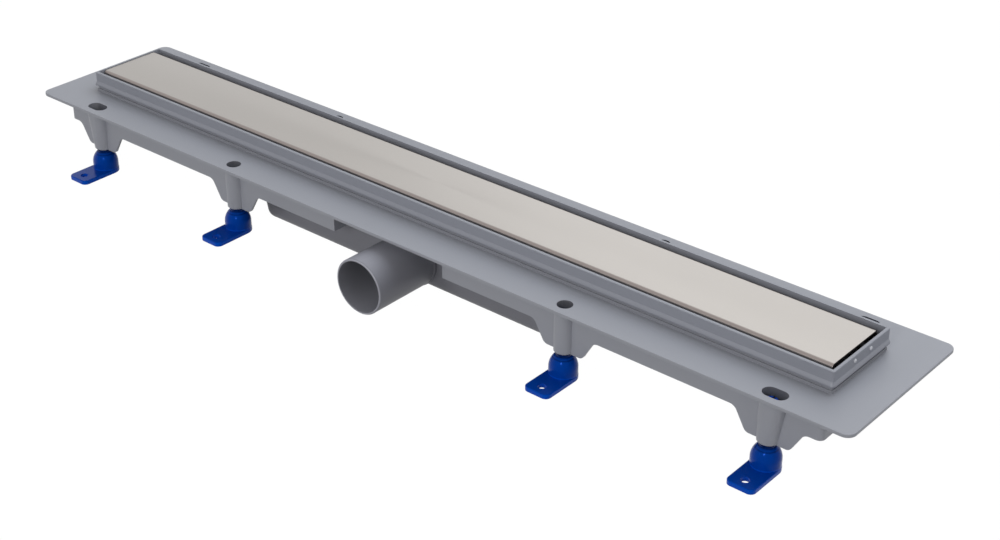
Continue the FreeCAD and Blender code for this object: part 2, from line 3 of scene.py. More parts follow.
import bmesh
import bpy
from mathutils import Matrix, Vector


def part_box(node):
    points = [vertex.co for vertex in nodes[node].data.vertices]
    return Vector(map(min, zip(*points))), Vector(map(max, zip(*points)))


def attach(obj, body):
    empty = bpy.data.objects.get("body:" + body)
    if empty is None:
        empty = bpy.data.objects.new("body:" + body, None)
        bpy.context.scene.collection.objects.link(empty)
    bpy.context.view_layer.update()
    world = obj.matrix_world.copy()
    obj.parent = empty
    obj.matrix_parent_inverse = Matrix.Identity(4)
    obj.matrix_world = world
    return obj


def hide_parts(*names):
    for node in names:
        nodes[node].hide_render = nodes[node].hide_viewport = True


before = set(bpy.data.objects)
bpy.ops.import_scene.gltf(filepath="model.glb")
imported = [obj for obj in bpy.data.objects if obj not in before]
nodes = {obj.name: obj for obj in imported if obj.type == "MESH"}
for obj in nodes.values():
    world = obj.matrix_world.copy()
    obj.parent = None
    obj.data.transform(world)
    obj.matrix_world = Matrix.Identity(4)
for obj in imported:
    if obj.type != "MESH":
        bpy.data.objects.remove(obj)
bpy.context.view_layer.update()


# Sump housing
# The lower half of the odour trap, moulded in grey plastic with the round outlet spigot on its
# front. Its grey is set darker than the channel's as painted shade under the flange, and its
# faces that look up are painted lighter as top light. It is welded by its lip to the underside
# of the channel.

# Painted shade: the sump's grey is set darker than the channel's, as shade under the flange.
sump_shaded_grey = (0.214, 0.215, 0.244, 1.0)
sump_specular = 0.4
# Painted top light: faces that look up are made this much lighter.
sump_top_light = 1.5
spigot_axis_height = 0.0260
# Painted shade: a ring of the spigot next to the sump's wall is made darker.
spigot_root_radius = 0.0262
spigot_root_start = 0.0014
spigot_root_reach = 0.0033
spigot_root_shade = 0.74
# Painted highlight: the spigot's rim, up to this depth from its end, is made lighter.
spigot_rim_depth = 0.0004
spigot_rim_light = 1.70
weld_bead_radius = 0.00028
weld_bead_sides = 6
weld_bead_wave = 0.00012
weld_bead_wave_scale = 260.0
weld_bead_wave_detail = 1.0
weld_bead_step = 0.0020
weld_bead_corner = 0.0140
weld_bead_corner_steps = 8
weld_bead_sharp_angle = 60
weld_seam_height = 0.0490

unset_grey = (0.5, 0.5, 0.5, 1.0)
noise_middle = 0.5
mottle_gain = 2.0
slow_detail = 3.0
grain_detail = 2.0
gloss_patch_scale = 55.0
skin_outputs = [
    ("Colour", "NodeSocketColor"),
    ("Roughness", "NodeSocketFloat"),
    ("Normal", "NodeSocketVector"),
]


def link(tree, source, target):
    """Wires one socket to another."""
    tree.links.new(source, target)


def new_group(name, inputs, outputs):
    """Empty shader group with named sockets, and its two end nodes."""
    group = bpy.data.node_groups.new(name, "ShaderNodeTree")
    for label, kind, value in inputs:
        socket = group.interface.new_socket(name=label, in_out="INPUT", socket_type=kind)
        socket.default_value = value
    for label, kind in outputs:
        group.interface.new_socket(name=label, in_out="OUTPUT", socket_type=kind)
    return group, group.nodes.new("NodeGroupInput"), group.nodes.new("NodeGroupOutput")


def noise(tree, coordinates, scale, detail):
    """Noise node on the given coordinates. The scale is a number or a socket."""
    node = tree.nodes.new("ShaderNodeTexNoise")
    node.inputs["Detail"].default_value = detail
    link(tree, coordinates, node.inputs["Vector"])
    if isinstance(scale, float):
        node.inputs["Scale"].default_value = scale
    else:
        link(tree, scale, node.inputs["Scale"])
    return node.outputs["Fac"]


def math_node(tree, operation, *values):
    """Math node whose inputs are numbers or sockets."""
    node = tree.nodes.new("ShaderNodeMath")
    node.operation = operation
    for index, value in enumerate(values):
        if isinstance(value, float):
            node.inputs[index].default_value = value
        else:
            link(tree, value, node.inputs[index])
    return node.outputs[0]


def centred(tree, value):
    """Noise moved so that it lies evenly round zero."""
    return math_node(tree, "SUBTRACT", value, noise_middle)


def product(tree, first, *others):
    """Numbers or sockets multiplied together."""
    for other in others:
        first = math_node(tree, "MULTIPLY", first, other)
    return first


def masked(tree, mask, shade):
    """Factor that is the shade where the mask is one, and one where the mask is zero."""
    change = math_node(tree, "SUBTRACT", shade, 1.0)
    return math_node(tree, "MULTIPLY_ADD", mask, change, 1.0)


def vector_node(tree, operation, *vectors):
    """Vector math node on one or two vectors. A length and a dot product give a number."""
    node = tree.nodes.new("ShaderNodeVectorMath")
    node.operation = operation
    for index, vector in enumerate(vectors):
        link(tree, vector, node.inputs[index])
    return node.outputs["Value" if operation in ("LENGTH", "DOT_PRODUCT") else "Vector"]


def parts_of(tree, vector):
    """The X, Y and Z of a vector."""
    node = tree.nodes.new("ShaderNodeSeparateXYZ")
    link(tree, vector, node.inputs[0])
    return node.outputs


def combined(tree, **parts):
    """Vector of the given parts, with zero for those that are left out."""
    node = tree.nodes.new("ShaderNodeCombineXYZ")
    for axis, value in parts.items():
        link(tree, value, node.inputs[axis])
    return node.outputs[0]


def object_place(tree):
    """Place on the piece, measured from the world's origin at rest."""
    return tree.nodes.new("ShaderNodeTexCoord").outputs["Object"]


def surface_normal(tree):
    """Direction that the surface faces."""
    return tree.nodes.new("ShaderNodeNewGeometry").outputs["Normal"]


def scaled_colour(tree, colour, factor):
    """Colour made lighter or darker by a factor."""
    node = tree.nodes.new("ShaderNodeVectorMath")
    node.operation = "SCALE"
    link(tree, colour, node.inputs[0])
    link(tree, factor, node.inputs["Scale"])
    return node.outputs[0]


def bumped(tree, height, depth):
    """Normal of a surface with fine bumps of the given depth."""
    bump = tree.nodes.new("ShaderNodeBump")
    bump.inputs["Strength"].default_value = 1.0
    link(tree, depth, bump.inputs["Distance"])
    link(tree, height, bump.inputs["Height"])
    return bump.outputs["Normal"]


def make_moulded_skin():
    """Surface of a moulded plastic piece: a slow drift of colour and gloss, and a fine grain."""
    group, start, end = new_group(
        "moulded_skin",
        [
            ("Colour", "NodeSocketColor", unset_grey),
            ("Mottle", "NodeSocketFloat", 0.05),
            ("Mottle Scale", "NodeSocketFloat", 9.0),
            ("Grain Scale", "NodeSocketFloat", 1500.0),
            ("Grain Depth", "NodeSocketFloat", 0.00001),
            ("Roughness", "NodeSocketFloat", 0.45),
            ("Gloss Drift", "NodeSocketFloat", 0.08),
        ],
        skin_outputs,
    )
    place = object_place(group)
    drift = centred(group, noise(group, place, start.outputs["Mottle Scale"], slow_detail))
    drift = product(group, drift, start.outputs["Mottle"])
    factor = math_node(group, "MULTIPLY_ADD", drift, mottle_gain, 1.0)
    link(group, scaled_colour(group, start.outputs["Colour"], factor), end.inputs["Colour"])
    patches = centred(group, noise(group, place, gloss_patch_scale, slow_detail))
    gloss = math_node(
        group, "MULTIPLY_ADD", patches, start.outputs["Gloss Drift"], start.outputs["Roughness"]
    )
    link(group, gloss, end.inputs["Roughness"])
    grain = noise(group, place, start.outputs["Grain Scale"], grain_detail)
    link(group, bumped(group, grain, start.outputs["Grain Depth"]), end.inputs["Normal"])
    return group


moulded_skin = make_moulded_skin()


def dressed_material(name, group, values):
    """Material with a Principled BSDF fed by one of the surface groups."""
    material = bpy.data.materials.new(name)
    material.use_nodes = True
    tree = material.node_tree
    shader = tree.nodes["Principled BSDF"]
    skin = tree.nodes.new("ShaderNodeGroup")
    skin.node_tree = group
    for label, value in values.items():
        skin.inputs[label].default_value = value
    link(tree, skin.outputs["Colour"], shader.inputs["Base Color"])
    link(tree, skin.outputs["Roughness"], shader.inputs["Roughness"])
    link(tree, skin.outputs["Normal"], shader.inputs["Normal"])
    return material


def tune(material, label, value):
    """Sets one value of a material's Principled BSDF."""
    material.node_tree.nodes["Principled BSDF"].inputs[label].default_value = value


def new_shade(name, inputs):
    """Empty group that changes a colour, and its two end nodes."""
    inputs = [("Colour", "NodeSocketColor", unset_grey)] + inputs
    return new_group(name, inputs, [("Colour", "NodeSocketColor")])


def close_shade(group, start, end, factor):
    """Ends a group that changes a colour by making the colour lighter or darker."""
    link(group, scaled_colour(group, start.outputs["Colour"], factor), end.inputs["Colour"])


def add_shade(material, group, values):
    """Puts a group that changes the colour between a material's skin and its shader."""
    tree = material.node_tree
    shade = tree.nodes.new("ShaderNodeGroup")
    shade.node_tree = group
    for label, value in values.items():
        shade.inputs[label].default_value = value
    base_colour = tree.nodes["Principled BSDF"].inputs["Base Color"]
    link(tree, base_colour.links[0].from_socket, shade.inputs["Colour"])
    link(tree, shade.outputs["Colour"], base_colour)


def make_spigot_painted_light():
    """Colour with painted light on faces that look up, painted shade at the spigot's root and a
    painted highlight on the spigot's rim.
    """
    group, start, end = new_shade(
        "spigot_painted_light",
        [
            ("Factor", "NodeSocketFloat", 1.0),
            ("Root", "NodeSocketVector", (0.0, 0.0, 0.0)),
            ("Root Radius", "NodeSocketFloat", 0.0),
            ("Root Reach", "NodeSocketFloat", 0.0),
            ("Root Shade", "NodeSocketFloat", 1.0),
            ("Rim Start", "NodeSocketFloat", 0.0),
            ("Rim Light", "NodeSocketFloat", 1.0),
        ],
    )
    # Painted top light: faces that look up are made lighter by the factor.
    upward = math_node(group, "MAXIMUM", parts_of(group, surface_normal(group))["Z"], 0.0)
    top_lit = masked(group, product(group, upward, upward), start.outputs["Factor"])
    place = object_place(group)
    # Painted shade round the spigot's root, where it meets the sump's wall.
    from_root = parts_of(group, vector_node(group, "SUBTRACT", place, start.outputs["Root"]))
    from_axis = vector_node(group, "LENGTH", combined(group, X=from_root["X"], Z=from_root["Z"]))
    near = math_node(group, "LESS_THAN", from_axis, start.outputs["Root Radius"])
    behind = math_node(group, "GREATER_THAN", from_root["Y"], 0.0)
    before = math_node(group, "LESS_THAN", from_root["Y"], start.outputs["Root Reach"])
    root = masked(group, product(group, near, behind, before), start.outputs["Root Shade"])
    # Painted highlight on the spigot's rim.
    on_rim = math_node(group, "LESS_THAN", parts_of(group, place)["Y"], start.outputs["Rim Start"])
    rim = masked(group, on_rim, start.outputs["Rim Light"])
    close_shade(group, start, end, product(group, top_lit, root, rim))
    return group


def dress(name, material):
    """Gives a CAD node its finish."""
    slots = nodes[name].data.materials
    slots.clear()
    slots.append(material)


sump_plastic = dressed_material(
    "sump_plastic", moulded_skin,
    {"Colour": sump_shaded_grey, "Mottle": 0.06, "Roughness": 0.50, "Grain Depth": 0.000012},
)
tune(sump_plastic, "Specular IOR Level", sump_specular)
sump_low, sump_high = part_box("sump_housing")
# Painted top light, painted shade at the spigot's root and a painted highlight on its rim.
add_shade(
    sump_plastic, make_spigot_painted_light(),
    {
        "Factor": sump_top_light,
        "Root": (0.0, -sump_high.y - spigot_root_start, spigot_axis_height),
        "Root Radius": spigot_root_radius,
        "Root Reach": spigot_root_reach,
        "Root Shade": spigot_root_shade,
        "Rim Start": sump_low.y + spigot_rim_depth,
        "Rim Light": spigot_rim_light,
    },
)
dress("sump_housing", sump_plastic)


def new_shape_tree(name, sizes):
    """Empty Geometry Nodes tree with named sizes, and its two end nodes."""
    tree = bpy.data.node_groups.new(name, "GeometryNodeTree")
    tree.interface.new_socket(name="Core", in_out="INPUT", socket_type="NodeSocketGeometry")
    for label, kind in sizes:
        tree.interface.new_socket(name=label, in_out="INPUT", socket_type=kind)
    tree.interface.new_socket(name="Shape", in_out="OUTPUT", socket_type="NodeSocketGeometry")
    return tree, tree.nodes.new("NodeGroupInput"), tree.nodes.new("NodeGroupOutput")


def swept(tree, curve, profile_radius, profile_steps):
    """Tube of a few flat sides along a curve, closed at both ends."""
    profile = tree.nodes.new("GeometryNodeCurvePrimitiveCircle")
    profile.inputs["Resolution"].default_value = profile_steps
    link(tree, profile_radius, profile.inputs["Radius"])
    tube = tree.nodes.new("GeometryNodeCurveToMesh")
    tube.inputs["Fill Caps"].default_value = True
    link(tree, curve, tube.inputs["Curve"])
    link(tree, profile.outputs["Curve"], tube.inputs["Profile Curve"])
    return tube.outputs["Mesh"]


def close_shape(tree, start, end, shape):
    """Plain geometry with the material that the tree is given, as the tree's last steps."""
    real = tree.nodes.new("GeometryNodeRealizeInstances")
    painted = tree.nodes.new("GeometryNodeSetMaterial")
    link(tree, shape, real.inputs["Geometry"])
    link(tree, real.outputs["Geometry"], painted.inputs["Geometry"])
    link(tree, start.outputs["Material"], painted.inputs["Material"])
    link(tree, painted.outputs["Geometry"], end.inputs["Shape"])


def grown(name, core, tree, values, sharp_angle):
    """Piece that a Geometry Nodes tree makes round a core mesh, as a plain mesh."""
    seed = bpy.data.objects.new(name + "_core", core)
    bpy.context.scene.collection.objects.link(seed)
    maker = seed.modifiers.new("maker", "NODES")
    maker.node_group = tree
    for item in tree.interface.items_tree:
        if item.in_out == "INPUT" and item.name in values:
            maker[item.identifier] = values[item.name]
    ready = seed.evaluated_get(bpy.context.evaluated_depsgraph_get())
    mesh = bpy.data.meshes.new_from_object(ready)
    seed.modifiers.remove(maker)
    bpy.data.objects.remove(seed)
    mesh.name = name
    mesh.shade_smooth()
    mesh.set_sharp_from_angle(angle=math.radians(sharp_angle))
    piece = bpy.data.objects.new(name, mesh)
    bpy.context.scene.collection.objects.link(piece)
    return piece


def make_weld_tree():
    """Fine uneven bead round a rounded rectangle."""
    tree, start, end = new_shape_tree(
        "weld_bead",
        [
            ("Length", "NodeSocketFloat"),
            ("Width", "NodeSocketFloat"),
            ("Corner", "NodeSocketFloat"),
            ("Radius", "NodeSocketFloat"),
            ("Wave", "NodeSocketFloat"),
            ("Step", "NodeSocketFloat"),
            ("Place", "NodeSocketVector"),
            ("Material", "NodeSocketMaterial"),
        ],
    )
    outline = tree.nodes.new("GeometryNodeCurvePrimitiveQuadrilateral")
    link(tree, start.outputs["Length"], outline.inputs["Width"])
    link(tree, start.outputs["Width"], outline.inputs["Height"])
    rounded = tree.nodes.new("GeometryNodeFilletCurve")
    rounded.mode = "POLY"
    rounded.inputs["Count"].default_value = weld_bead_corner_steps
    link(tree, outline.outputs["Curve"], rounded.inputs["Curve"])
    link(tree, start.outputs["Corner"], rounded.inputs["Radius"])
    stepped = tree.nodes.new("GeometryNodeResampleCurve")
    stepped.mode = "LENGTH"
    link(tree, rounded.outputs["Curve"], stepped.inputs["Curve"])
    link(tree, start.outputs["Step"], stepped.inputs["Length"])
    place = tree.nodes.new("GeometryNodeInputPosition").outputs["Position"]
    ripple = noise(tree, place, weld_bead_wave_scale, weld_bead_wave_detail)
    rise = product(tree, centred(tree, ripple), start.outputs["Wave"])
    waved = tree.nodes.new("GeometryNodeSetPosition")
    link(tree, stepped.outputs["Curve"], waved.inputs["Geometry"])
    link(tree, combined(tree, Z=rise), waved.inputs["Offset"])
    bead = swept(tree, waved.outputs["Geometry"], start.outputs["Radius"], weld_bead_sides)
    moved = tree.nodes.new("GeometryNodeTransform")
    link(tree, bead, moved.inputs["Geometry"])
    link(tree, start.outputs["Place"], moved.inputs["Translation"])
    both = tree.nodes.new("GeometryNodeJoinGeometry")
    link(tree, start.outputs["Core"], both.inputs["Geometry"])
    link(tree, moved.outputs["Geometry"], both.inputs["Geometry"])
    close_shape(tree, start, end, both.outputs["Geometry"])
    return tree


weld_middle_x = (sump_low.x + sump_high.x) / 2
weld_bead = grown(
    "weld_bead", bpy.data.meshes.new("weld_bead_core"), make_weld_tree(),
    {
        "Length": sump_high.x - sump_low.x,
        "Width": 2 * sump_high.y,
        "Corner": weld_bead_corner,
        "Radius": weld_bead_radius,
        "Wave": weld_bead_wave,
        "Step": weld_bead_step,
        "Place": (weld_middle_x, 0.0, weld_seam_height),
        "Material": sump_plastic,
    },
    weld_bead_sharp_angle,
)
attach(weld_bead, "drain")


# Channel body
# One grey moulding: the flange that is sealed into the floor, the sloping trough, the skirt
# with its webs, and the bosses that the feet screw into. Everything else is fixed to it.

body_grey = (0.347, 0.356, 0.396, 1.0)
body_specular = 0.45
# Painted shade: the bores of the bosses are made darker.
bore_shade_reach = 0.0132
bore_shade_top = 0.0652
bore_shade = 0.40
bore_inward_limit = 0.0002
# Painted shade: the wall's plinth under the frame's bead is made darker.
plinth_shade_bottom = 0.0657
plinth_shade = 0.77
# Painted shade: the inner ledge inside the trough is made nearly black.
ledge_half_size = (0.4050, 0.0380, 0.0)
ledge_bottom = 0.0628
ledge_shade = 0.12

body_plastic = dressed_material(
    "body_plastic", moulded_skin,
    {"Colour": body_grey, "Mottle": 0.035, "Roughness": 0.44, "Gloss Drift": 0.07},
)
tune(body_plastic, "Specular IOR Level", body_specular)


def make_deep_shade():
    """Painted shade: the colour is made darker in the bosses' bores, on the inner ledge and on the
    wall's plinth.
    """
    group, start, end = new_shade(
        "deep_shade",
        [
            ("Outer Bore", "NodeSocketVector", (0.0, 0.0, 0.0)),
            ("Inner Bore", "NodeSocketVector", (0.0, 0.0, 0.0)),
            ("Bore Reach", "NodeSocketFloat", 0.005),
            ("Bore Top", "NodeSocketFloat", 0.0),
            ("Bore Shade", "NodeSocketFloat", 1.0),
            ("Plinth Bottom", "NodeSocketFloat", 0.0),
            ("Plinth Shade", "NodeSocketFloat", 1.0),
            ("Ledge Half Size", "NodeSocketVector", (0.0, 0.0, 0.0)),
            ("Ledge Bottom", "NodeSocketFloat", 0.0),
            ("Ledge Shade", "NodeSocketFloat", 1.0),
        ],
    )
    place = object_place(group)
    folded = parts_of(group, vector_node(group, "ABSOLUTE", place))
    flat = combined(group, X=folded["X"], Y=folded["Y"])
    signs = vector_node(group, "SIGN", place)
    facing = vector_node(group, "MULTIPLY", surface_normal(group), signs)
    # Painted shade in the bores.
    in_bore = 0.0
    for label in ("Outer Bore", "Inner Bore"):
        from_axis = vector_node(group, "SUBTRACT", flat, start.outputs[label])
        distance = vector_node(group, "LENGTH", from_axis)
        close = math_node(group, "LESS_THAN", distance, start.outputs["Bore Reach"])
        outward = vector_node(group, "DOT_PRODUCT", from_axis, facing)
        inward = math_node(group, "LESS_THAN", outward, -bore_inward_limit)
        in_bore = math_node(group, "MAXIMUM", in_bore, product(group, close, inward))
    below = math_node(group, "LESS_THAN", folded["Z"], start.outputs["Bore Top"])
    bore = masked(group, product(group, in_bore, below), start.outputs["Bore Shade"])
    # Painted shade on the inner ledge.
    half = parts_of(group, start.outputs["Ledge Half Size"])
    on_ledge = math_node(group, "GREATER_THAN", folded["Z"], start.outputs["Ledge Bottom"])
    for axis in ("X", "Y"):
        within = math_node(group, "LESS_THAN", folded[axis], half[axis])
        on_ledge = product(group, on_ledge, within)
    ledge = masked(group, on_ledge, start.outputs["Ledge Shade"])
    # Painted shade on the plinth.
    on_plinth = math_node(group, "GREATER_THAN", folded["Z"], start.outputs["Plinth Bottom"])
    plinth = masked(group, on_plinth, start.outputs["Plinth Shade"])
    close_shade(group, start, end, product(group, bore, ledge, plinth))
    return group


def upright_axis(name):
    """Place of an upright piece's axis in the first quarter, at the floor."""
    low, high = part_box(name)
    return (abs(low.x + high.x) / 2, abs(low.y + high.y) / 2, 0.0)


add_shade(
    body_plastic, make_deep_shade(),
    {
        "Outer Bore": upright_axis("foot_spindle_front_4"),
        "Inner Bore": upright_axis("foot_spindle_front_3"),
        "Bore Reach": bore_shade_reach,
        "Bore Top": bore_shade_top,
        "Bore Shade": bore_shade,
        "Plinth Bottom": plinth_shade_bottom,
        "Plinth Shade": plinth_shade,
        "Ledge Half Size": ledge_half_size,
        "Ledge Bottom": ledge_bottom,
        "Ledge Shade": ledge_shade,
    },
)
dress("channel_body", body_plastic)


# Odour trap
# Dip tube, water cup and strainer in pale plastic, dropped in the inlet from above. A rubber
# ring in the groove of the dip tube's sleeve seals it, and all of it lifts out for cleaning.

trap_grey = (0.56, 0.57, 0.58, 1.0)
seal_black = (0.022, 0.022, 0.024, 1.0)

trap_plastic = dressed_material(
    "trap_plastic", moulded_skin,
    {"Colour": trap_grey, "Mottle": 0.03, "Mottle Scale": 30.0, "Roughness": 0.38},
)
seal_rubber = dressed_material(
    "seal_rubber", moulded_skin,
    {"Colour": seal_black, "Mottle": 0.12, "Mottle Scale": 60.0, "Roughness": 0.62},
)
dress("trap_insert", trap_plastic)
dress("trap_cup", trap_plastic)
dress("hair_strainer", trap_plastic)
dress("trap_seal", seal_rubber)


# Rim frame
# Grey moulded frame that clips over the wall round the trough and carries the tiles' edge. It
# has a bead at its foot and two polished clip pips at each end.

frame_grey = (0.299, 0.310, 0.353, 1.0)
# Painted shade: the frame's lowest part, under its bead, is made darker towards the bottom.
bead_shade_reach = 0.0026
bead_shade = 0.80


def map_range(tree, value, first, last, result_first, result_last):
    """Value carried over from one range to another, and held at its ends."""
    node = tree.nodes.new("ShaderNodeMapRange")
    link(tree, value, node.inputs["Value"])
    node.inputs["From Min"].default_value = first
    node.inputs["From Max"].default_value = last
    node.inputs["To Min"].default_value = result_first
    node.inputs["To Max"].default_value = result_last
    return node.outputs["Result"]


def make_height_shade(name, slopes, lines):
    """Colour scaled by height: slopes run between two heights, lines lie round one height."""
    group, start, end = new_shade(name, [])
    height = parts_of(group, object_place(group))["Z"]
    factors = []
    for first, last, first_shade, last_shade in slopes:
        factors.append(map_range(group, height, first, last, first_shade, last_shade))
    for middle, half, shade in lines:
        away = math_node(group, "ABSOLUTE", math_node(group, "SUBTRACT", height, middle))
        factors.append(map_range(group, away, 0.0, half, shade, 1.0))
    close_shade(group, start, end, product(group, *factors))
    return group


frame_plastic = dressed_material(
    "frame_plastic", moulded_skin,
    {"Colour": frame_grey, "Mottle": 0.03, "Roughness": 0.40, "Gloss Drift": 0.06},
)
frame_low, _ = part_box("rim_frame")
# Painted shade under the bead.
bead_slopes = [(frame_low.z, frame_low.z + bead_shade_reach, bead_shade, 1.0)]
add_shade(frame_plastic, make_height_shade("bead_shade", bead_slopes, []), {})
dress("rim_frame", frame_plastic)

# Painted highlight: the pips are a lighter grey than the frame, so that they show as bright dots.
pip_highlight_grey = (0.60, 0.61, 0.65, 1.0)
pip_radius = 0.00175
pip_proud = 0.0012
pip_spacing = 0.0224
pip_height = 0.0802
pip_subdivisions = 3
frame_half_length = 0.4080

pip_plastic = dressed_material(
    "pip_plastic", moulded_skin,
    {"Colour": pip_highlight_grey, "Mottle": 0.02, "Roughness": 0.22, "Gloss Drift": 0.03},
)


def finished(name, mesh_builder, material):
    """Object of a bmesh with smooth faces and one finish, at the world's origin."""
    mesh = bpy.data.meshes.new(name)
    mesh_builder.to_mesh(mesh)
    mesh_builder.free()
    mesh.materials.append(material)
    piece = bpy.data.objects.new(name, mesh)
    bpy.context.scene.collection.objects.link(piece)
    for face in mesh.polygons:
        face.use_smooth = True
    return piece


def make_pips():
    """Flattened balls half sunk in the frame's two end walls."""
    builder = bmesh.new()
    for end in (-1, 1):
        for side in (-1, 1):
            ball = bmesh.ops.create_icosphere(
                builder, subdivisions=pip_subdivisions, radius=1.0
            )
            bmesh.ops.scale(builder, vec=(pip_proud, pip_radius, pip_radius), verts=ball["verts"])
            centre = (end * frame_half_length, side * pip_spacing / 2, pip_height)
            bmesh.ops.translate(builder, vec=centre, verts=ball["verts"])
    return builder


pips = finished("clip_pips", make_pips(), pip_plastic)
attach(pips, "drain")


# Cover
# Stainless sheet with its two long edges bent down, brushed along its length. It stands loose
# on the moulded seats in the channel, and the cut edges are lightly broken.

cover_steel_colour = (0.434, 0.413, 0.392, 1.0)
cover_sheet_thickness = 0.0015
cover_bend_radius = 0.0030
cover_bend_steps = 14
cover_edge_break = 0.00022
cover_edge_segments = 2
cover_edge_angle = 50
cover_left_reach = 0.0034
# Painted reflection: a darker, reddish band is laid across each bend of the sheet.
cover_bend_painted_reflection = (0.66, 0.60, 0.60, 1.0)
cover_bend_gain = 4.0
# Painted shade: the sheet's inner side is made nearly black.
cover_inner_shade = 0.10
cover_skin_depth = 0.0013
cover_anisotropy = 0.4
streak_noise_scale = 1.0
streak_gloss = 0.16
cloud_noise_scale = 14.0
cloud_gloss = 0.08

# Sockets of a Mix node that hold its two colours and the mixed one
mix_first_colour = 6
mix_second_colour = 7
mix_result_colour = 2

# Angles of the cover's bends in the YZ plane, in degrees
toward_plus_y = 0
toward_plus_z = 90
toward_minus_y = 180


def make_brushed_skin():
    """Steel brushed along X: long fine scratches and a slow cloudiness, with painted shade on the
    inner side and a painted dark reflection on the bends.
    """
    group, start, end = new_group(
        "brushed_skin",
        [
            ("Colour", "NodeSocketColor", unset_grey),
            ("Streak Length", "NodeSocketFloat", 9.0),
            ("Streak Density", "NodeSocketFloat", 2600.0),
            ("Streak Depth", "NodeSocketFloat", 0.000004),
            ("Streak Contrast", "NodeSocketFloat", 0.06),
            ("Cloudiness", "NodeSocketFloat", 0.05),
            ("Roughness", "NodeSocketFloat", 0.36),
            ("Bend Top", "NodeSocketFloat", 0.0),
            ("Bend Depth", "NodeSocketFloat", 0.003),
            ("Bend Painted Reflection", "NodeSocketColor", (1.0, 1.0, 1.0, 1.0)),
            ("Inner Half Width", "NodeSocketFloat", 0.0),
            ("Inner Top", "NodeSocketFloat", 0.0),
            ("Inner Shade", "NodeSocketFloat", 1.0),
        ],
        skin_outputs,
    )
    place = object_place(group)
    density = start.outputs["Streak Density"]
    stretch = combined(group, X=start.outputs["Streak Length"], Y=density, Z=density)
    stretched = vector_node(group, "MULTIPLY", place, stretch)
    streaks = noise(group, stretched, streak_noise_scale, slow_detail)
    streak_part = centred(group, streaks)
    cloud_part = centred(group, noise(group, place, cloud_noise_scale, slow_detail))
    shade = math_node(
        group, "MULTIPLY_ADD", streak_part, start.outputs["Streak Contrast"], 1.0
    )
    shade = math_node(group, "MULTIPLY_ADD", cloud_part, start.outputs["Cloudiness"], shade)
    spot = parts_of(group, place)
    # Painted shade on the inner side of the sheet.
    across = math_node(group, "ABSOLUTE", spot["Y"])
    within = math_node(group, "LESS_THAN", across, start.outputs["Inner Half Width"])
    under = math_node(group, "LESS_THAN", spot["Z"], start.outputs["Inner Top"])
    inner = masked(group, product(group, within, under), start.outputs["Inner Shade"])
    tinted = scaled_colour(group, start.outputs["Colour"], product(group, shade, inner))
    # Painted reflection on the bends, strongest part way down each bend.
    drop = math_node(group, "SUBTRACT", start.outputs["Bend Top"], spot["Z"])
    drop = math_node(group, "DIVIDE", drop, start.outputs["Bend Depth"])
    drop = math_node(group, "SQRT", math_node(group, "MAXIMUM", drop, 0.0))
    rest = math_node(group, "SUBTRACT", 1.0, drop)
    bent = math_node(group, "MAXIMUM", product(group, drop, rest, cover_bend_gain), 0.0)
    shaded = group.nodes.new("ShaderNodeMix")
    shaded.data_type = "RGBA"
    shaded.blend_type = "MULTIPLY"
    link(group, bent, shaded.inputs["Factor"])
    link(group, tinted, shaded.inputs[mix_first_colour])
    link(group, start.outputs["Bend Painted Reflection"], shaded.inputs[mix_second_colour])
    link(group, shaded.outputs[mix_result_colour], end.inputs["Colour"])
    gloss = math_node(
        group, "MULTIPLY_ADD", streak_part, streak_gloss, start.outputs["Roughness"]
    )
    gloss = math_node(group, "MULTIPLY_ADD", cloud_part, cloud_gloss, gloss)
    link(group, gloss, end.inputs["Roughness"])
    link(group, bumped(group, streaks, start.outputs["Streak Depth"]), end.inputs["Normal"])
    return group


def arc_points(centre_y, centre_z, radius, first, last, steps):
    """Points of an arc in the YZ plane, by angle in degrees."""
    points = []
    for index in range(steps + 1):
        angle = math.radians(first + (last - first) * index / steps)
        points.append((centre_y + radius * math.cos(angle), centre_z + radius * math.sin(angle)))
    return points


def make_cover():
    """Bent sheet swept along X from its section, up to the left end of its play."""
    low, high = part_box("cover_plate")
    half = high.y
    outer = cover_bend_radius
    sheet = cover_sheet_thickness
    inner = outer - sheet
    bend_y = half - outer
    bend_z = high.z - outer
    steps = cover_bend_steps
    section = [(-half, low.z)]
    section += arc_points(-bend_y, bend_z, outer, toward_minus_y, toward_plus_z, steps)
    section += arc_points(bend_y, bend_z, outer, toward_plus_z, toward_plus_y, steps)
    section += [(half, low.z), (half - sheet, low.z)]
    section += arc_points(bend_y, bend_z, inner, toward_plus_y, toward_plus_z, steps)
    section += arc_points(-bend_y, bend_z, inner, toward_plus_z, toward_minus_y, steps)
    section += [(-half + sheet, low.z)]
    builder = bmesh.new()
    ends = []
    for x in (low.x - cover_left_reach, high.x):
        ends.append([builder.verts.new((x, y, z)) for y, z in section])
    count = len(section)
    for index in range(count):
        following = (index + 1) % count
        builder.faces.new(
            (ends[0][index], ends[0][following], ends[1][following], ends[1][index])
        )
    builder.faces.new(ends[0])
    builder.faces.new(list(reversed(ends[1])))
    bmesh.ops.recalc_face_normals(builder, faces=builder.faces[:])
    return builder


